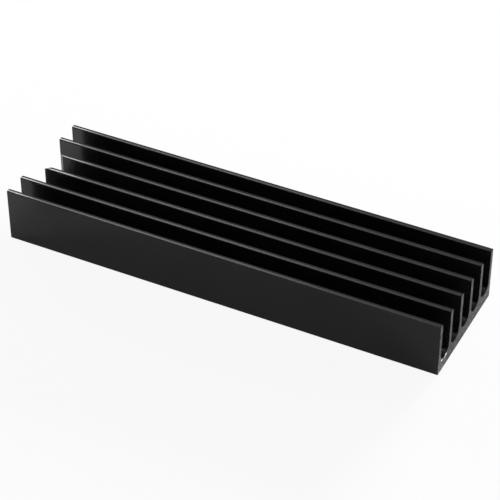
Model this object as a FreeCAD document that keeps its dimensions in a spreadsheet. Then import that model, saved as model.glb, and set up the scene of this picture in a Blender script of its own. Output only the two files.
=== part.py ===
# Finned aluminium heat sink for a stick-shaped solid state drive, in millimetres.
#
# The real piece is one length of extruded bar: a flat base with six thin upright fins
# and rounded valleys between them, the same section from end to end. It is sawn to
# length, and a notch with a round bottom is milled down through the middle of one end,
# so that the screw that holds the drive can be reached.
#
# X runs along the fins, Y across them and Z up. The origin is on the underside, at the
# middle of the footprint, and the notched end is the one at -X.

import FreeCAD, Part
import math
import os
from enum import IntEnum

import Sketcher

# The driving sizes. All are millimetres but fin_count, which is a whole number.
SIZES = {
    "overall_length": 80.0,
    "overall_width": 22.5,
    "overall_height": 10.0,
    "base_thickness": 2.1,
    "fin_count": 6,
    "fin_thickness": 0.9,
    "root_radius": 1.5,
    "tip_radius": 0.15,
    "base_edge_radius": 0.1,
    "screw_notch_radius": 3.0,
    "screw_notch_inset": 0.8,
}

# What follows from the driving sizes, as expressions on the sheet.
VALLEY_COUNT = "(round(Sizes.fin_count) - 1)"
FIN_PITCH = f"(Sizes.overall_width - Sizes.fin_thickness) / {VALLEY_COUNT}"
VALLEY_WIDTH = f"{FIN_PITCH} - Sizes.fin_thickness"

# Two equal roundings share a valley or a fin tip, so each is held below half of it.
ROUNDING_LIMIT = 0.45

# Two edges this close are at the same height, in millimetres.
SAME_PLACE = 1e-6


class Known(IntEnum):
    """The sketcher's numbers for its level axis and for the points of what is drawn."""
    LEVEL_AXIS = -1
    START = 1
    END = 2
    MIDDLE = 3


# The origin of a sketch is the start of its level axis.
ORIGIN = (Known.LEVEL_AXIS, Known.START)


def make_sheet(document):
    sheet = document.addObject("Spreadsheet::Sheet", "Sizes")
    for row, (name, value) in enumerate(SIZES.items(), start=1):
        sheet.set(f"A{row}", name)
        sheet.set(f"B{row}", str(value))
        sheet.setAlias(f"B{row}", name)
    document.recompute()


def origin_feature(body, role):
    return next(item for item in body.Origin.OriginFeatures if item.Role == role)


def add_sketch(body, name, plane):
    sketch = body.newObject("Sketcher::SketchObject", name)
    sketch.AttachmentSupport = (origin_feature(body, plane), [""])
    sketch.MapMode = "FlatFace"
    return sketch


def constrain(sketch, kind, *where, name=None, size=None):
    """Add one constraint, and tie it to the sheet where it has a name and a size."""
    index = sketch.addConstraint(Sketcher.Constraint(kind, *where))
    if name:
        sketch.renameConstraint(index, name)
        sketch.setExpression(f"Constraints.{name}", size)


def draw_rectangle(sketch, left, right, bottom, top):
    """Draw a level rectangle, and return its bottom and its right line."""
    corners = [(left, bottom), (right, bottom), (right, top), (left, top)]
    points = [FreeCAD.Vector(across, up, 0) for across, up in corners]
    lines = [
        sketch.addGeometry(Part.LineSegment(points[i], points[(i + 1) % 4]), False)
        for i in range(4)
    ]
    for i in range(4):
        following = lines[(i + 1) % 4]
        constrain(sketch, "Coincident", lines[i], Known.END, following, Known.START)
        constrain(sketch, "Vertical" if i % 2 else "Horizontal", lines[i])
    return lines[0], lines[1]


def draw_slot(sketch, centres, radius):
    """Draw a slot with two round ends on the level axis, and return its arcs."""
    arcs = []
    for centre, middle in zip(centres, (0, math.pi)):
        circle = Part.Circle(FreeCAD.Vector(centre, 0, 0), FreeCAD.Vector(0, 0, 1), radius)
        half_turn = Part.ArcOfCircle(circle, middle - math.pi / 2, middle + math.pi / 2)
        arcs.append(sketch.addGeometry(half_turn, False))
        constrain(sketch, "PointOnObject", arcs[-1], Known.MIDDLE, Known.LEVEL_AXIS)
    for i, side in enumerate((radius, -radius)):
        start, end = (FreeCAD.Vector(centres[j], side, 0) for j in (i, 1 - i))
        line = sketch.addGeometry(Part.LineSegment(start, end), False)
        constrain(sketch, "Tangent", arcs[i], Known.END, line, Known.START)
        constrain(sketch, "Tangent", line, Known.END, arcs[1 - i], Known.START)
    constrain(sketch, "Equal", *arcs)
    return arcs


def constrain_span(sketch, kind, line, length, name, size):
    """Set a line's length across or up the sketch."""
    ends = (line, Known.START, line, Known.END)
    constrain(sketch, kind, *ends, length, name=name, size=size)


def edges_along_bar(feature, height):
    """Name the straight edges of a feature that run along X at one height."""
    names = []
    for number, edge in enumerate(feature.Shape.Edges, start=1):
        first, last = (vertex.Point for vertex in (edge.Vertexes[0], edge.Vertexes[-1]))
        along = abs(first.x - last.x) > SAME_PLACE and abs(first.y - last.y) < SAME_PLACE
        level = abs(first.z - height) < SAME_PLACE and abs(last.z - height) < SAME_PLACE
        if along and level:
            names.append(f"Edge{number}")
    return names


def round_edges(body, base, name, height, radius):
    """Round every edge that runs along the bar at one height."""
    rounding = body.newObject("PartDesign::Fillet", name)
    rounding.Base = (base, edges_along_bar(base, height))
    rounding.setExpression("Radius", radius)
    body.Document.recompute()
    return rounding


def pad_bar(body):
    """The sawn length of bar, before anything is taken out of it."""
    width, height = SIZES["overall_width"], SIZES["overall_height"]
    sketch = add_sketch(body, "bar_outline", "YZ_Plane")
    bottom, side = draw_rectangle(sketch, -width / 2, width / 2, 0, height)
    constrain(sketch, "PointOnObject", bottom, Known.START, Known.LEVEL_AXIS)
    constrain(sketch, "DistanceX", bottom, Known.START, *ORIGIN, width / 2,
              name="half_width", size="Sizes.overall_width / 2")
    constrain_span(sketch, "DistanceX", bottom, width, "width", "Sizes.overall_width")
    constrain_span(sketch, "DistanceY", side, height, "height", "Sizes.overall_height")
    bar = body.newObject("PartDesign::Pad", "bar")
    bar.Profile = sketch
    bar.SideType = "Symmetric"
    bar.setExpression("Length", "Sizes.overall_length")
    body.Document.recompute()
    return bar


def cut_valleys(body):
    """The gaps between the fins: one cut at the front, and the rest of its row."""
    pitch = (SIZES["overall_width"] - SIZES["fin_thickness"]) / (SIZES["fin_count"] - 1)
    left = SIZES["fin_thickness"] - SIZES["overall_width"] / 2
    right = left + pitch - SIZES["fin_thickness"]
    floor, top = SIZES["base_thickness"], SIZES["overall_height"]

    sketch = add_sketch(body, "valley_outline", "YZ_Plane")
    bottom, wall = draw_rectangle(sketch, left, right, floor, top)
    constrain(sketch, "DistanceX", bottom, Known.START, *ORIGIN, -left,
              name="first_wall", size="Sizes.overall_width / 2 - Sizes.fin_thickness")
    constrain(sketch, "DistanceY", *ORIGIN, bottom, Known.START, floor,
              name="floor", size="Sizes.base_thickness")
    constrain_span(sketch, "DistanceX", bottom, right - left, "valley_width", VALLEY_WIDTH)
    constrain_span(sketch, "DistanceY", wall, top - floor,
                   "valley_depth", "Sizes.overall_height - Sizes.base_thickness")

    valley = body.newObject("PartDesign::Pocket", "valley")
    valley.Profile = sketch
    valley.Type = "ThroughAll"
    valley.SideType = "Symmetric"
    body.Document.recompute()

    row = body.newObject("PartDesign::LinearPattern", "valley_row")
    row.Originals = [valley]
    row.Direction = (origin_feature(body, "Y_Axis"), [""])
    row.Mode = "Spacing"
    row.setExpression("Offset", FIN_PITCH)
    row.setExpression("Occurrences", VALLEY_COUNT)
    body.Tip = row
    body.Document.recompute()
    return row


def cut_screw_notch(body):
    """The notch, milled from above through the fins and the base.

    It is half of a slot that lies across the end face, so that it is open there.
    """
    radius, inset = SIZES["screw_notch_radius"], SIZES["screw_notch_inset"]
    end = SIZES["overall_length"] / 2
    sketch = add_sketch(body, "screw_notch_outline", "XY_Plane")
    inner, outer = draw_slot(sketch, (inset - end, -inset - end), radius)
    constrain(sketch, "DistanceX", inner, Known.MIDDLE, *ORIGIN, end - inset,
              name="inner_centre", size="Sizes.overall_length / 2 - Sizes.screw_notch_inset")
    constrain(sketch, "DistanceX", outer, Known.MIDDLE, *ORIGIN, end + inset,
              name="outer_centre", size="Sizes.overall_length / 2 + Sizes.screw_notch_inset")
    constrain(sketch, "Radius", inner, radius,
              name="radius", size="Sizes.screw_notch_radius")
    notch = body.newObject("PartDesign::Pocket", "screw_notch")
    notch.Profile = sketch
    notch.Type = "ThroughAll"
    notch.Reversed = True
    body.Document.recompute()
    return notch


def make_heat_sink(document):
    body = document.addObject("PartDesign::Body", "heat_sink")
    body.Label = "heat_sink"
    bar = pad_bar(body)
    fins = cut_valleys(body)
    roots = round_edges(
        body, fins, "root_roundings", SIZES["base_thickness"],
        f"min(Sizes.root_radius; {ROUNDING_LIMIT} * ({VALLEY_WIDTH}))")
    tips = round_edges(
        body, roots, "tip_roundings", SIZES["overall_height"],
        f"min(Sizes.tip_radius; {ROUNDING_LIMIT} * Sizes.fin_thickness)")
    underside = round_edges(body, tips, "base_edge_roundings", 0, "Sizes.base_edge_radius")
    notch = cut_screw_notch(body)
    body.Tip = notch
    body.Placement = FreeCAD.Placement()
    document.recompute()
    check_cut(bar, fins)
    check_cut(underside, notch)
    return body


def check_cut(before, after):
    """Stop if a cut took nothing away."""
    if after.Shape.Volume >= before.Shape.Volume:
        raise RuntimeError(f"{after.Name} missed the bar")


def check_model(document, body):
    """Stop if a feature failed, or if the result isn't one sound solid."""
    for item in document.Objects:
        if "Invalid" in item.State or "Error" in item.State:
            raise RuntimeError(f"{item.Name} failed: {item.State}")
    if body.Shape.isNull() or not body.Shape.isValid() or len(body.Shape.Solids) != 1:
        raise RuntimeError("the heat sink is not one sound solid")


document = FreeCAD.newDocument("heat_sink_model")
make_sheet(document)
heat_sink = make_heat_sink(document)
check_model(document, heat_sink)
os.makedirs("parts", exist_ok=True)
heat_sink.Shape.exportStep(f"parts/{heat_sink.Label}.step")
print(f"{heat_sink.Label}: {heat_sink.Shape.Volume:.1f} cubic millimetres")
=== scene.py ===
import math

import bpy
from mathutils import Matrix, Vector


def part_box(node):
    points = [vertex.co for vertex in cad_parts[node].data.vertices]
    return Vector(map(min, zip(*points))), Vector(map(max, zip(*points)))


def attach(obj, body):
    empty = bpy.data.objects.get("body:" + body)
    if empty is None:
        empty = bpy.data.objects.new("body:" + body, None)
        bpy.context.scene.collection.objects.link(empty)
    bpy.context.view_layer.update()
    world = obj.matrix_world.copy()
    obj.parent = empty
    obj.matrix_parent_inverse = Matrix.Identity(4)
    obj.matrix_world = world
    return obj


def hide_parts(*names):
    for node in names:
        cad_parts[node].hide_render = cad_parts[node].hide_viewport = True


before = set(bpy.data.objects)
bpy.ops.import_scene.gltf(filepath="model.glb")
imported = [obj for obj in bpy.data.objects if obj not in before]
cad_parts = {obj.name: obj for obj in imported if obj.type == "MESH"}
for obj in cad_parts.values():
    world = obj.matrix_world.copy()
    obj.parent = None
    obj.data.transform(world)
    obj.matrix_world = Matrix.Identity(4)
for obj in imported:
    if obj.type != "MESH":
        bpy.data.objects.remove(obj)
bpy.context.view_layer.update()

# The bar is one length of extruded aluminium: a flat base, thin upright fins and rounded
# valleys, the same section from end to end. It is sawn to length, a notch with a round
# bottom is milled down through one end, and then the whole of it is black anodised.

MM = 0.001
BAR_LOW, BAR_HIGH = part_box("heat_sink")
BAR_SIZES = {
    "Length": BAR_HIGH.x - BAR_LOW.x,
    "Width": BAR_HIGH.y - BAR_LOW.y,
    "Height": BAR_HIGH.z - BAR_LOW.z,
    "Base Thickness": 2.1 * MM,
    "Fin Thickness": 0.9 * MM,
    "Root Radius": 1.5 * MM,
    "Tip Radius": 0.15 * MM,
    "Tip Crown": 0.05 * MM,
    "Base Edge Radius": 0.1 * MM,
    "Notch Radius": 3.0 * MM,
    "Notch Inset": 0.8 * MM,
}
FIN_COUNT = 6

# Every cut edge is broken by this much.
EDGE_BREAK = 0.03 * MM
SHARP_ANGLE = math.radians(30)

# How finely the bar is drawn.
LENGTHWISE_RINGS = 17
TIP_POINTS, ROOT_POINTS = 5, 12
NOTCH_FACETS = 72
WELD = 0.0005 * MM

# A face is a sawn one where its normal runs along the bar by at least this share.
END_FACING = 0.999


def set_inputs(tree, node, inputs):
    """Set or link a node's inputs, by name or number.

    A node that is given as a value stands for its first output in use.
    """
    for socket, value in inputs.items():
        if isinstance(value, bpy.types.Node):
            value = next(output for output in value.outputs if output.enabled)
        if isinstance(value, bpy.types.NodeSocket):
            tree.links.new(value, node.inputs[socket])
        else:
            node.inputs[socket].default_value = value


def add_node(tree, kind, inputs=None, **settings):
    """Add a node with its settings and its inputs."""
    node = tree.nodes.new(kind)
    for name, value in settings.items():
        setattr(node, name, value)
    set_inputs(tree, node, inputs or {})
    return node


def new_geometry_tree(name, lengths, counts=()):
    """An empty Geometry Nodes tree with named inputs, and the sockets that carry them."""
    tree = bpy.data.node_groups.new(name, "GeometryNodeTree")
    for socket in lengths:
        tree.interface.new_socket(socket, in_out="INPUT", socket_type="NodeSocketFloat")
    for socket in counts:
        tree.interface.new_socket(socket, in_out="INPUT", socket_type="NodeSocketInt")
    tree.interface.new_socket("Geometry", in_out="OUTPUT", socket_type="NodeSocketGeometry")
    given = add_node(tree, "NodeGroupInput").outputs
    return tree, {socket: given[socket] for socket in (*lengths, *counts)}


def make_trough_tree():
    """A flat-bottomed trough seen end on, with its two lips: one valley, or the outside.

    Its six corners run from the left lip down, across the floor and up to the right lip.
    Each lip falls a little from the fin's middle to the wall, so the fin's top is crowned.
    """
    tree, given = new_geometry_tree("trough outline", [
        "Lip", "Wall", "Top", "Crown", "Floor", "Lip Radius", "Floor Radius"])
    lip, wall, top, crown, floor, lip_radius, floor_radius = given.values()
    corner_count = 6
    left_lip = add_node(tree, "ShaderNodeMath", {0: lip, 1: -1}, operation="MULTIPLY")
    left_wall = add_node(tree, "ShaderNodeMath", {0: wall, 1: -1}, operation="MULTIPLY")
    wall_top = add_node(tree, "ShaderNodeMath", {0: top, 1: crown}, operation="SUBTRACT")

    corner = add_node(tree, "GeometryNodeInputIndex")
    at_corner = {}
    for name, data_type, values in (
        ("across", "FLOAT", (left_lip, left_wall, left_wall, wall, wall, lip)),
        ("up", "FLOAT", (top, wall_top, floor, floor, wall_top, top)),
        ("radius", "FLOAT", (0, lip_radius, floor_radius, floor_radius, lip_radius, 0)),
        ("points", "INT", (1, TIP_POINTS, ROOT_POINTS, ROOT_POINTS, TIP_POINTS, 1)),
    ):
        chosen = add_node(tree, "GeometryNodeIndexSwitch", {"Index": corner},
                          data_type=data_type)
        while len(chosen.index_switch_items) < corner_count:
            chosen.index_switch_items.new()
        set_inputs(tree, chosen, dict(enumerate(values, start=1)))
        at_corner[name] = chosen

    # It is drawn upside down, because the sweep along the bar turns it over.
    down = add_node(tree, "ShaderNodeMath", {0: at_corner["up"], 1: -1}, operation="MULTIPLY")
    place = add_node(tree, "ShaderNodeCombineXYZ", {"X": at_corner["across"], "Y": down})
    corners = add_node(tree, "GeometryNodeMeshLine", {"Count": corner_count})
    placed = add_node(tree, "GeometryNodeSetPosition", {"Geometry": corners, "Position": place})
    line = add_node(tree, "GeometryNodeMeshToCurve", {"Mesh": placed})
    rounded = add_node(tree, "GeometryNodeFilletCurve", {
        "Curve": line, "Count": at_corner["points"], "Radius": at_corner["radius"]}, mode="POLY")
    edges = add_node(tree, "GeometryNodeCurveToMesh", {"Curve": rounded})
    add_node(tree, "NodeGroupOutput", {"Geometry": edges})
    return tree


def make_bar_tree(skin, sawn, milled):
    """The whole bar, with a material for its skin, its sawn ends and the notch's wall."""
    tree, size = new_geometry_tree("extruded bar", BAR_SIZES, ["Fin Count"])
    for name, left, operation, right in (
        ("Valley Count", "Fin Count", "SUBTRACT", 1),
        ("Half Fin", "Fin Thickness", "DIVIDE", 2),
        ("Half Width", "Width", "DIVIDE", 2),
        ("Outer Lip", "Half Width", "SUBTRACT", "Half Fin"),
        ("Half Pitch", "Outer Lip", "DIVIDE", "Valley Count"),
        ("Pitch", "Half Pitch", "MULTIPLY", 2),
        ("Valley Wall", "Half Pitch", "SUBTRACT", "Half Fin"),
        ("First Valley", "Half Pitch", "SUBTRACT", "Outer Lip"),
        ("Half Height", "Height", "DIVIDE", 2),
        ("Cutter Height", "Height", "MULTIPLY", 1.5),
        ("Far End", "Length", "DIVIDE", -2),
        ("Slot Start", "Far End", "SUBTRACT", "Notch Inset"),
        ("Slot Length", "Notch Inset", "MULTIPLY", 2),
    ):
        size[name] = add_node(tree, "ShaderNodeMath", {
            0: size[left], 1: size.get(right, right)}, operation=operation)

    # The section is one valley, repeated across the bar, and the outside of the bar. Their
    # lips meet in the middle of each fin's top.
    trough = make_trough_tree()
    fin_top = {"Top": size["Height"], "Crown": size["Tip Crown"],
               "Lip Radius": size["Tip Radius"]}
    valley = add_node(tree, "GeometryNodeGroup", {
        "Lip": size["Half Pitch"], "Wall": size["Valley Wall"],
        "Floor": size["Base Thickness"], "Floor Radius": size["Root Radius"], **fin_top},
        node_tree=trough)
    outside = add_node(tree, "GeometryNodeGroup", {
        "Lip": size["Outer Lip"], "Wall": size["Half Width"],
        "Floor Radius": size["Base Edge Radius"], **fin_top}, node_tree=trough)
    first_valley = add_node(tree, "ShaderNodeCombineXYZ", {"X": size["First Valley"]})
    step = add_node(tree, "ShaderNodeCombineXYZ", {"X": size["Pitch"]})
    middles = add_node(tree, "GeometryNodeMeshLine", {
        "Count": size["Valley Count"], "Start Location": first_valley, "Offset": step})
    row = add_node(tree, "GeometryNodeInstanceOnPoints", {"Points": middles, "Instance": valley})
    outline = add_node(tree, "GeometryNodeJoinGeometry", {"Geometry": row})
    set_inputs(tree, outline, {"Geometry": outside})
    loose = add_node(tree, "GeometryNodeRealizeInstances", {"Geometry": outline})
    closed = add_node(tree, "GeometryNodeMergeByDistance", {"Geometry": loose, "Distance": WELD})
    section = add_node(tree, "GeometryNodeMeshToCurve", {"Mesh": closed})

    # The section is swept along the bar and its two ends are closed. The rings are closer
    # together near the ends, so that the broken edges' shading doesn't spread along the bar.
    ring = add_node(tree, "GeometryNodeInputIndex")
    share = add_node(tree, "ShaderNodeMapRange", {
        "Value": ring, "From Max": LENGTHWISE_RINGS - 1, "To Min": -0.5, "To Max": 0.5},
        interpolation_type="SMOOTHERSTEP")
    along = add_node(tree, "ShaderNodeMath", {0: share, 1: size["Length"]},
                     operation="MULTIPLY")
    ring_place = add_node(tree, "ShaderNodeCombineXYZ", {"X": along})
    rings = add_node(tree, "GeometryNodeMeshLine", {"Count": LENGTHWISE_RINGS})
    placed_rings = add_node(tree, "GeometryNodeSetPosition", {
        "Geometry": rings, "Position": ring_place})
    path = add_node(tree, "GeometryNodeMeshToCurve", {"Mesh": placed_rings})
    swept = add_node(tree, "GeometryNodeCurveToMesh", {
        "Curve": path, "Profile Curve": section, "Fill Caps": True})
    skinned = add_node(tree, "GeometryNodeSetMaterial", {"Geometry": swept, "Material": skin})

    # The notch is half of an upright slot that lies across the far end. The cutter is the
    # hull of the slot's two round ends, and stands out above the bar and below it.
    slot_start = add_node(tree, "ShaderNodeCombineXYZ", {
        "X": size["Slot Start"], "Z": size["Half Height"]})
    slot_step = add_node(tree, "ShaderNodeCombineXYZ", {"X": size["Slot Length"]})
    slot_ends = add_node(tree, "GeometryNodeMeshLine", {
        "Count": 2, "Start Location": slot_start, "Offset": slot_step})
    round_end = add_node(tree, "GeometryNodeMeshCylinder", {
        "Vertices": NOTCH_FACETS, "Radius": size["Notch Radius"],
        "Depth": size["Cutter Height"]})
    round_ends = add_node(tree, "GeometryNodeInstanceOnPoints", {
        "Points": slot_ends, "Instance": round_end})
    real_ends = add_node(tree, "GeometryNodeRealizeInstances", {"Geometry": round_ends})
    cutter = add_node(tree, "GeometryNodeConvexHull", {"Geometry": real_ends})
    marked = add_node(tree, "GeometryNodeSetMaterial", {"Geometry": cutter, "Material": milled})
    notched = add_node(tree, "GeometryNodeMeshBoolean", {"Mesh 1": skinned, "Mesh 2": marked},
                       operation="DIFFERENCE", solver="EXACT")
    smooth = add_node(tree, "GeometryNodeSetShadeSmooth", {"Geometry": notched})

    # The faces that look along the bar are its two sawn ends.
    normal = add_node(tree, "GeometryNodeInputNormal")
    facing = add_node(tree, "ShaderNodeSeparateXYZ", {"Vector": normal})
    squareness = add_node(tree, "ShaderNodeMath", {0: facing}, operation="ABSOLUTE")
    at_end = add_node(tree, "ShaderNodeMath", {0: squareness, 1: END_FACING},
                      operation="GREATER_THAN")
    whole = add_node(tree, "GeometryNodeRealizeInstances", {"Geometry": smooth})
    piece = add_node(tree, "GeometryNodeSetMaterial", {
        "Geometry": whole, "Selection": at_end, "Material": sawn})
    add_node(tree, "NodeGroupOutput", {"Geometry": piece})
    return tree


# Anodising grows a hard clear film on the etched metal, and dye turns it black. To the eye
# it is dark glass over a fine matt grain, with bright metal where it is rubbed through. On
# the fins' tops that bright metal is partly a painted highlight.

BARE_ALUMINIUM = "#C9C9CB"

# A noise's values lie mostly in this span.
NOISE_SPAN = {"From Min": 0.3, "From Max": 0.7}

# A narrow line of bare metal runs near the front face of each fin's top. It is partly film
# rubbed through by handling and partly a painted highlight, laid where the lamps' highlight
# falls so that it shows brighter. The line is barest at the notched end, is a little uneven
# and fades along the bar.
WORN_SHEEN_DEPTH = 0.12 * MM
WORN_SHEEN_INTO_FIN = 0.3 * MM
WORN_SHEEN_REACH = 9 * MM
WORN_SHEEN_AT_END = 0.75
WORN_SHEEN_PATCH_SIZE = 10 / 3 * MM
WORN_SHEEN_PATCHES = {"From Min": 0.3, "From Max": 0.6, "To Min": 0.7}

# Out from the line's middle, and down from the fin's top, the line is full as far as the
# first share of its depth and gone at the second.
WORN_SHEEN_SIDEWAYS = (1 / 2, 1.3)
WORN_SHEEN_DOWNWARD = (1 / 3, 1)


def linear(colour):
    """The linear colour, with full alpha, that an sRGB hex value stands for."""
    parts = [int(colour[i:i + 2], 16) / 255 for i in (1, 3, 5)]
    return [p / 12.92 if p <= 0.04045 else ((p + 0.055) / 1.055) ** 2.4 for p in parts] + [1]


def new_material(name):
    """A material and its empty tree."""
    material = bpy.data.materials.new(name)
    material.use_nodes = True
    tree = material.node_tree
    tree.nodes.clear()
    return material, tree


def add_worn_sheen(tree, place, depth):
    """The share, 0 to 1, of a bare line on the fins' tops by the notched end: partly film rubbed
    off, partly a painted highlight.

    The depth is how far down from the top it reaches, and sets the width of its line.
    """
    at = add_node(tree, "ShaderNodeSeparateXYZ", {"Vector": place}).outputs

    # It fades with the distance from the notch's wall or the end, whichever is nearer.
    past_slot = add_node(tree, "ShaderNodeMath", {
        0: at["X"], 1: BAR_LOW.x + BAR_SIZES["Notch Inset"]}, operation="SUBTRACT")
    beyond = add_node(tree, "ShaderNodeMath", {0: past_slot, 1: 0}, operation="MAXIMUM")
    from_axis = add_node(tree, "ShaderNodeCombineXYZ", {"X": beyond, "Y": at["Y"]})
    reach = add_node(tree, "ShaderNodeVectorMath", {0: from_axis}, operation="LENGTH")
    from_notch = add_node(tree, "ShaderNodeMath", {0: reach, 1: BAR_SIZES["Notch Radius"]},
                          operation="SUBTRACT")
    from_end = add_node(tree, "ShaderNodeMath", {0: at["X"], 1: BAR_LOW.x},
                        operation="SUBTRACT")
    gap = add_node(tree, "ShaderNodeMath", {0: from_notch, 1: from_end}, operation="MINIMUM")
    along = add_node(tree, "ShaderNodeMapRange", {
        "Value": gap, "From Max": WORN_SHEEN_REACH, "To Min": WORN_SHEEN_AT_END, "To Max": 0},
        interpolation_type="SMOOTHERSTEP")

    # Across the bar the fins repeat, so a place's distance into its fin is a remainder.
    pitch = (BAR_SIZES["Width"] - BAR_SIZES["Fin Thickness"]) / (FIN_COUNT - 1)
    from_front = add_node(tree, "ShaderNodeMath", {0: at["Y"], 1: BAR_LOW.y},
                          operation="SUBTRACT")
    into_fin = add_node(tree, "ShaderNodeMath", {0: from_front, 1: pitch},
                        operation="FLOORED_MODULO")
    off_line = add_node(tree, "ShaderNodeMath", {0: into_fin, 1: WORN_SHEEN_INTO_FIN},
                        operation="SUBTRACT")
    beside = add_node(tree, "ShaderNodeMath", {0: off_line}, operation="ABSOLUTE")
    full, gone = (share * depth for share in WORN_SHEEN_SIDEWAYS)
    across = add_node(tree, "ShaderNodeMapRange", {
        "Value": beside, "From Min": full, "From Max": gone, "To Min": 1, "To Max": 0})
    full, gone = (BAR_HIGH.z - share * depth for share in WORN_SHEEN_DOWNWARD)
    height = add_node(tree, "ShaderNodeMapRange", {
        "Value": at["Z"], "From Min": gone, "From Max": full})
    noise = add_node(tree, "ShaderNodeTexNoise", {
        "Vector": place, "Scale": 1 / WORN_SHEEN_PATCH_SIZE})
    patches = add_node(tree, "ShaderNodeMapRange", {"Value": noise, **WORN_SHEEN_PATCHES})
    line = add_node(tree, "ShaderNodeMath", {0: across, 1: height}, operation="MULTIPLY")
    fading = add_node(tree, "ShaderNodeMath", {0: along, 1: line}, operation="MULTIPLY")
    return add_node(tree, "ShaderNodeMath", {0: fading, 1: patches}, operation="MULTIPLY")


def finish_in_film(tree, colour, bare_and_sheen, roughness, ior, normal):
    """Make the surface of the dyed film, and of bare metal where the film has worn off or where
    a highlight is painted.
    """
    shown = add_node(tree, "ShaderNodeMix", {
        "Factor": bare_and_sheen, "A": colour, "B": linear(BARE_ALUMINIUM)}, data_type="RGBA")
    surface = add_node(tree, "ShaderNodeBsdfPrincipled", {
        "Base Color": shown, "Metallic": bare_and_sheen, "Roughness": roughness, "IOR": ior,
        "Normal": normal})
    add_node(tree, "ShaderNodeOutputMaterial", {"Surface": surface})


# The skin is as the steel die left it, and then etched. To the eye it is satin black and
# mirrors softly, with faint lines along the bar, duller roots and shades that drift a little.

SKIN_BLACK, SKIN_BLACK_FADED = "#161616", "#222223"
SKIN_ROUGHNESS = {"To Min": 0.19, "To Max": 0.24}
ROOT_ROUGHNESS = 0.4
FILM_IOR = 1.58
HAZE_SIZE = 9 * MM
HAZE_SPAN = {"From Min": 0.35, "From Max": 0.7}

# The die's lines and the etch's grain are really a few hundredths of a millimetre wide. That
# is too fine to show, so both are drawn coarser.
DIE_LINE_SPACING = 0.22 * MM
DIE_LINE_SQUEEZE = (0.012, 1, 1)
GRAIN_SIZE = 0.12 * MM
LINE_SHARE = 0.6
SKIN_RELIEF = 0.005 * MM


def make_skin():
    material, tree = new_material("black anodised extruded aluminium")
    place = add_node(tree, "ShaderNodeTexCoord").outputs["Object"]
    squeezed = add_node(tree, "ShaderNodeMapping", {
        "Vector": place, "Scale": DIE_LINE_SQUEEZE})
    lines = add_node(tree, "ShaderNodeTexNoise", {
        "Vector": squeezed, "Scale": 1 / DIE_LINE_SPACING, "Detail": 3})
    grain = add_node(tree, "ShaderNodeTexNoise", {
        "Vector": place, "Scale": 1 / GRAIN_SIZE, "Detail": 2})
    relief = add_node(tree, "ShaderNodeMix", {"Factor": LINE_SHARE, "A": grain, "B": lines})
    bump = add_node(tree, "ShaderNodeBump", {
        "Height": relief, "Strength": 1, "Distance": SKIN_RELIEF})
    haze = add_node(tree, "ShaderNodeTexNoise", {
        "Vector": place, "Scale": 1 / HAZE_SIZE, "Detail": 3})
    drift = add_node(tree, "ShaderNodeMapRange", {"Value": haze, **HAZE_SPAN})
    colour = add_node(tree, "ShaderNodeMix", {
        "Factor": drift, "A": linear(SKIN_BLACK), "B": linear(SKIN_BLACK_FADED)},
        data_type="RGBA")

    # The roots of the valleys are duller than the walls.
    satin = add_node(tree, "ShaderNodeMapRange", {
        "Value": relief, **NOISE_SPAN, **SKIN_ROUGHNESS})
    at = add_node(tree, "ShaderNodeSeparateXYZ", {"Vector": place}).outputs
    root = add_node(tree, "ShaderNodeMapRange", {
        "Value": at["Z"], "From Min": BAR_SIZES["Base Thickness"],
        "From Max": BAR_SIZES["Base Thickness"] + BAR_SIZES["Root Radius"],
        "To Min": ROOT_ROUGHNESS, "To Max": 0})
    over_base = add_node(tree, "ShaderNodeMath", {
        0: at["Z"], 1: BAR_SIZES["Base Thickness"] / 2}, operation="GREATER_THAN")
    from_middle = add_node(tree, "ShaderNodeMath", {0: at["Y"]}, operation="ABSOLUTE")
    within = add_node(tree, "ShaderNodeMath", {
        0: from_middle, 1: BAR_HIGH.y - BAR_SIZES["Fin Thickness"] / 2}, operation="LESS_THAN")
    in_valley = add_node(tree, "ShaderNodeMath", {0: over_base, 1: within},
                         operation="MULTIPLY")
    dull = add_node(tree, "ShaderNodeMath", {0: root, 1: in_valley}, operation="MULTIPLY")
    roughness = add_node(tree, "ShaderNodeMath", {0: satin, 1: dull}, operation="MAXIMUM")
    # The fins' tops get a bare line that is partly wear and partly a painted highlight.
    bare_and_sheen = add_worn_sheen(tree, place, WORN_SHEEN_DEPTH)
    finish_in_film(tree, colour, bare_and_sheen, roughness, FILM_IOR, bump)
    return material


# A round saw, its axle below the bar, cut it to length. The teeth left shallow arcs and torn
# grain, which took etch and dye unevenly. To the eye the ends are rough and dark grey,
# mottled, with bright points.

SAWN_BLACK, SAWN_GREY = "#0C0C0D", "#323234"
SAWN_ROUGHNESS = {"To Min": 0.38, "To Max": 0.55}
SAWN_FILM_IOR = 1.5
SAW_RADIUS = 125 * MM
SAW_AXLE = (0, 0.35 * SAW_RADIUS, -0.94 * SAW_RADIUS)

# Saw marks and torn grain are really about a tenth of a millimetre wide and less deep. Both
# are drawn coarser and deeper, so that they show.
SAW_MARK_SPACING = 0.35 * MM
SAWN_GRAIN_SIZE = 0.4 * MM
SAWN_RELIEF = 0.6 * MM
ARC_SHARE = 0.35
MOTTLE_SPAN = {"From Min": 0.35, "From Max": 0.65}

# The highest grain is partly bare, and the end is made barer, so lighter, towards its
# lowest near corner.
BARE_PEAKS = {"From Min": 0.53, "From Max": 0.64, "To Max": 0.5}
LIGHTER_CORNER = (BAR_HIGH.x, BAR_LOW.y, BAR_LOW.z)
LIGHTER_CORNER_REACH = 4 * MM
LIGHTER_CORNER_SHARE = 0.25

# A few specks were knocked from the edge of the plain end's first valley after anodising, so
# they are bare metal, and their broken faces look up. Each has its place and its size in
# millimetres, and fades past its core.
SPECKS = (((40, -8.1, 2.05), 0.28), ((40, -8.4, 1.68), 0.15), ((40, -9.75, 2.1), 0.22))
SPECK_CORE = 0.6
SPECK_STRETCH = 2
SPECK_FACING = (0.77, -0.12, 0.63)


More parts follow.
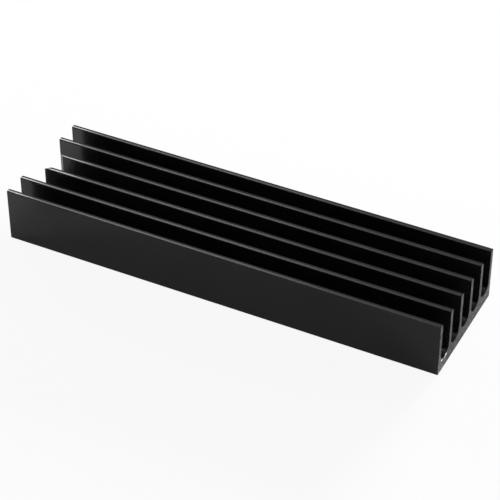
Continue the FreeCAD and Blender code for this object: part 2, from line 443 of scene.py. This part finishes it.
def add_specks(tree, place):
    """1 in the specks of bare metal, which are longer across the bar, and 0 elsewhere."""
    squeeze = (1, 1 / SPECK_STRETCH, 1)
    squeezed = add_node(tree, "ShaderNodeVectorMath", {0: place, 1: squeeze},
                        operation="MULTIPLY")
    specks = 0
    for centre, size in SPECKS:
        middle = [part * share * MM for part, share in zip(centre, squeeze)]
        gap = add_node(tree, "ShaderNodeVectorMath", {0: squeezed, 1: middle},
                       operation="DISTANCE")
        speck = add_node(tree, "ShaderNodeMapRange", {
            "Value": gap, "From Min": SPECK_CORE * size * MM, "From Max": size * MM,
            "To Min": 1, "To Max": 0})
        specks = add_node(tree, "ShaderNodeMath", {0: specks, 1: speck}, operation="MAXIMUM")
    return specks


def make_sawn_end():
    material, tree = new_material("black anodised sawn aluminium")
    place = add_node(tree, "ShaderNodeTexCoord").outputs["Object"]
    flat = add_node(tree, "ShaderNodeVectorMath", {0: place, 1: (0, 1, 1)},
                    operation="MULTIPLY")
    from_axle = add_node(tree, "ShaderNodeVectorMath", {0: flat, 1: SAW_AXLE},
                         operation="DISTANCE")
    arcs = add_node(tree, "ShaderNodeTexNoise", {
        "W": from_axle, "Scale": 1 / SAW_MARK_SPACING, "Detail": 3}, noise_dimensions="1D")
    grain = add_node(tree, "ShaderNodeTexNoise", {
        "Vector": place, "Scale": 1 / SAWN_GRAIN_SIZE, "Detail": 4})
    relief = add_node(tree, "ShaderNodeMix", {"Factor": ARC_SHARE, "A": grain, "B": arcs})
    mottle = add_node(tree, "ShaderNodeMapRange", {"Value": relief, **MOTTLE_SPAN})
    colour = add_node(tree, "ShaderNodeMix", {
        "Factor": mottle, "A": linear(SAWN_BLACK), "B": linear(SAWN_GREY)}, data_type="RGBA")
    roughness = add_node(tree, "ShaderNodeMapRange", {
        "Value": relief, **NOISE_SPAN, **SAWN_ROUGHNESS})

    # The film is thin or gone on the peaks and on the specks, and the end is made barer towards
    # its lowest near corner.
    peaks = add_node(tree, "ShaderNodeMapRange", {"Value": relief, **BARE_PEAKS})
    to_corner = add_node(tree, "ShaderNodeVectorMath", {0: place, 1: LIGHTER_CORNER},
                         operation="DISTANCE")
    near_corner = add_node(tree, "ShaderNodeMapRange", {
        "Value": to_corner, "From Max": LIGHTER_CORNER_REACH, "To Min": LIGHTER_CORNER_SHARE, "To Max": 0})
    peaks_and_corner = add_node(tree, "ShaderNodeMath", {0: peaks, 1: near_corner}, operation="ADD")
    specks = add_specks(tree, place)
    # The fins' tops get the bare line that is partly wear and partly a painted highlight.
    specks_and_sheen = add_node(tree, "ShaderNodeMath", {
        0: add_worn_sheen(tree, place, WORN_SHEEN_DEPTH), 1: specks}, operation="MAXIMUM")
    bare_and_sheen = add_node(tree, "ShaderNodeMath", {0: peaks_and_corner, 1: specks_and_sheen},
                        operation="MAXIMUM")

    # The specks' broken faces take the place of the relief.
    bump = add_node(tree, "ShaderNodeBump", {
        "Height": relief, "Strength": 1, "Distance": SAWN_RELIEF})
    tilted = add_node(tree, "ShaderNodeMix", {"Factor": specks, "A": bump, "B": SPECK_FACING},
                      data_type="VECTOR")
    facing = add_node(tree, "ShaderNodeVectorMath", {0: tilted}, operation="NORMALIZE")
    finish_in_film(tree, colour, bare_and_sheen, roughness, SAWN_FILM_IOR, facing)
    return material


# The side of a round cutter milled the notch. To the eye its wall is smoother and blacker
# than the sawn ends, with fine upright marks. At the tops of the two fins it is bare metal,
# partly rubbed and partly a painted glint.

MILLED_BLACK = "#0F0F10"
MILLED_ROUGHNESS = {"To Min": 0.28, "To Max": 0.4}
MILLED_RELIEF = 0.004 * MM
MILLED_WORN_SHEEN_DEPTH = 3 * WORN_SHEEN_DEPTH

# The marks are really under a tenth of a millimetre apart, and are drawn coarser to show.
CUTTER_MARK_SPACING = 0.25 * MM
CUTTER_MARK_SQUEEZE = (1, 1, 0.05)


def make_milled_wall():
    material, tree = new_material("black anodised milled aluminium")
    place = add_node(tree, "ShaderNodeTexCoord").outputs["Object"]
    squeezed = add_node(tree, "ShaderNodeMapping", {
        "Vector": place, "Scale": CUTTER_MARK_SQUEEZE})
    marks = add_node(tree, "ShaderNodeTexNoise", {
        "Vector": squeezed, "Scale": 1 / CUTTER_MARK_SPACING, "Detail": 2})
    roughness = add_node(tree, "ShaderNodeMapRange", {
        "Value": marks, **NOISE_SPAN, **MILLED_ROUGHNESS})
    bump = add_node(tree, "ShaderNodeBump", {
        "Height": marks, "Strength": 1, "Distance": MILLED_RELIEF})
    # At the tops of the two fins the wall is bare, partly wear and partly a painted glint.
    bare_and_sheen = add_worn_sheen(tree, place, MILLED_WORN_SHEEN_DEPTH)
    finish_in_film(tree, linear(MILLED_BLACK), bare_and_sheen, roughness, FILM_IOR, bump)
    return material


def new_piece(name, mesh):
    piece = bpy.data.objects.new(name, mesh)
    bpy.context.scene.collection.objects.link(piece)
    return piece


def make_bar():
    """The bar as a plain mesh, with its cut edges broken."""
    tree = make_bar_tree(make_skin(), make_sawn_end(), make_milled_wall())
    maker = new_piece("bar_maker", bpy.data.meshes.new("bar_maker"))
    nodes = maker.modifiers.new("extruded bar", "NODES")
    nodes.node_group = tree
    sizes = {**BAR_SIZES, "Fin Count": FIN_COUNT}
    for socket in tree.interface.items_tree:
        if socket.in_out == "INPUT":
            nodes[socket.identifier] = sizes[socket.name]
    broken = maker.modifiers.new("edges broken after sawing", "BEVEL")
    broken.width = EDGE_BREAK
    broken.segments = 2
    broken.limit_method = "ANGLE"
    broken.angle_limit = SHARP_ANGLE
    broken.use_clamp_overlap = False
    broken.loop_slide = False
    maker.modifiers.new("flat faces stay flat", "WEIGHTED_NORMAL")
    bpy.context.view_layer.update()
    made = maker.evaluated_get(bpy.context.evaluated_depsgraph_get())
    mesh = bpy.data.meshes.new_from_object(made)
    mesh.name = "finned_bar"
    bpy.data.objects.remove(maker)
    return new_piece("finned_bar", mesh)


bar = make_bar()
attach(bar, "root")
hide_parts("heat_sink")

# The studio is a white table top under a white sky, and has no walls. Both show white to
# the camera and darker in gloss, and the table keeps the bar's shadow.

TABLE_SIZE = 4.0
TABLE_WHITE = "#F4F4F4"
TABLE_SEEN, TABLE_MIRRORED = 0.92, 0.15
UNDER_BAR = 0.02 * MM
SKY_SEEN, SKY_MIRRORED = 1.0, 0.19
SKY_LIGHT = 0.08


def add_look(tree, seen, mirrored):
    """How bright a thing shows to the camera and in gloss. To matt surfaces it is 0."""
    path = add_node(tree, "ShaderNodeLightPath").outputs
    direct = add_node(tree, "ShaderNodeMath", {0: path["Is Camera Ray"], 1: seen},
                      operation="MULTIPLY")
    in_gloss = add_node(tree, "ShaderNodeMath", {0: path["Is Glossy Ray"], 1: mirrored},
                        operation="MULTIPLY")
    return add_node(tree, "ShaderNodeMath", {0: direct, 1: in_gloss}, operation="MAXIMUM")


def make_table():
    """A matt white board. To the eye it is an even white, with a faint soft shadow."""
    half = TABLE_SIZE / 2
    mesh = bpy.data.meshes.new("table")
    mesh.from_pydata(
        [(-half, -half, 0), (half, -half, 0), (half, half, 0), (-half, half, 0)],
        [], [(0, 1, 2, 3)])
    table = new_piece("table", mesh)
    table.location.z = BAR_LOW.z - UNDER_BAR
    material, tree = new_material("white table top")
    matt = add_node(tree, "ShaderNodeBsdfDiffuse", {"Color": linear(TABLE_WHITE)})
    glow = add_node(tree, "ShaderNodeEmission")
    share = add_look(tree, TABLE_SEEN, TABLE_MIRRORED)
    both = add_node(tree, "ShaderNodeMixShader", {"Fac": share, 1: matt, 2: glow})
    add_node(tree, "ShaderNodeOutputMaterial", {"Surface": both})
    mesh.materials.append(material)


def make_sky():
    world = bpy.data.worlds.new("studio")
    world.use_nodes = True
    tree = world.node_tree
    tree.nodes.clear()
    look = add_look(tree, SKY_SEEN, SKY_MIRRORED)
    level = add_node(tree, "ShaderNodeMath", {0: look, 1: SKY_LIGHT}, operation="MAXIMUM")
    sky = add_node(tree, "ShaderNodeBackground", {"Color": (1, 1, 1, 1), "Strength": level})
    add_node(tree, "ShaderNodeOutputWorld", {"Surface": sky})
    bpy.context.scene.world = world


make_table()
make_sky()

# The lamps are softboxes. Three stand low behind the bar and a small one at its left. Three
# more give only highlights: they draw the bright lines on the fins' tops.

# Blender takes an area lamp's power as this many times its radiance times its area.
POWER_PER_RADIANCE = 4


def add_softbox(name, toward, away, size, level, back=None, lights_matt=True,
                lights_gloss=True):
    """A softbox that lights a level surface at the middle of the table to a level.

    It faces the middle of the table, or its back points in the direction given for it.
    """
    direction = Vector(toward).normalized()
    area = size[0] * size[1]
    solid_angle = area / away ** 2
    radiance = level * math.pi / (solid_angle * direction.z)
    lamp = bpy.data.lights.new(name, "AREA")
    lamp.shape = "RECTANGLE"
    lamp.size, lamp.size_y = size
    lamp.energy = radiance * area * POWER_PER_RADIANCE
    placed = bpy.data.objects.new(name, lamp)
    placed.location = direction * away
    placed.rotation_euler = Vector(back or toward).to_track_quat("Z", "Y").to_euler()
    placed.visible_camera = False
    placed.visible_diffuse = lights_matt
    placed.visible_glossy = lights_gloss
    bpy.context.scene.collection.objects.link(placed)


add_softbox("softbox behind", toward=(0.12, 0.97, 0.22), away=0.7, size=(0.25, 0.12),
            level=0.5, lights_gloss=False)
add_softbox("softbox behind left", toward=(-0.75, 0.5, 0.3), away=0.7, size=(0.3, 0.2),
            level=0.1, lights_gloss=False)
add_softbox("softbox behind right", toward=(0.75, 0.5, 0.3), away=0.7, size=(0.3, 0.2),
            level=0.07)
add_softbox("softbox left", toward=(-0.18, -0.06, 0.06), away=0.2, size=(0.08, 0.05),
            level=0.03)
add_softbox("highlight behind", toward=(-0.35, 0.33, 0.48), away=0.68, size=(0.32, 0.2),
            level=0.065, back=(0, 0.33, 0.48), lights_matt=False)
add_softbox("highlight behind right", toward=(-0.1, 0.33, 0.48), away=0.6, size=(0.18, 0.2),
            level=0.013, back=(0, 0.33, 0.48), lights_matt=False)
add_softbox("highlight in front", toward=(-0.11, -0.2, 0.51), away=0.56, size=(0.2, 0.2),
            level=0.06, lights_matt=False)

# The camera stands in front of the bar, to its right and above it, where the photograph was
# taken from. It has a long lens, and is turned by a tenth of a degree.

CAMERA_AIM = Vector((1.582, -1.440, 5.0)) * MM
CAMERA_AZIMUTH = math.radians(26.858)
CAMERA_ELEVATION = math.radians(38.143)
CAMERA_ROLL = math.radians(-0.097)
CAMERA_DISTANCE = 328.96 * MM
CAMERA_NEAR = 10 * MM
CAMERA_LENS, CAMERA_SENSOR = 140.75, 36.0


def add_camera():
    away = Vector((math.sin(CAMERA_AZIMUTH) * math.cos(CAMERA_ELEVATION),
                   -math.cos(CAMERA_AZIMUTH) * math.cos(CAMERA_ELEVATION),
                   math.sin(CAMERA_ELEVATION)))
    lens = bpy.data.cameras.new("camera")
    lens.lens, lens.sensor_width = CAMERA_LENS, CAMERA_SENSOR
    lens.clip_start = CAMERA_NEAR
    camera = bpy.data.objects.new("camera", lens)
    camera.matrix_world = (
        Matrix.Translation(CAMERA_AIM + away * CAMERA_DISTANCE)
        @ away.to_track_quat("Z", "Y").to_matrix().to_4x4()
        @ Matrix.Rotation(CAMERA_ROLL, 4, "Z"))
    bpy.context.scene.collection.objects.link(camera)
    bpy.context.scene.camera = camera


add_camera()
bpy.context.scene.view_settings.view_transform = "Standard"
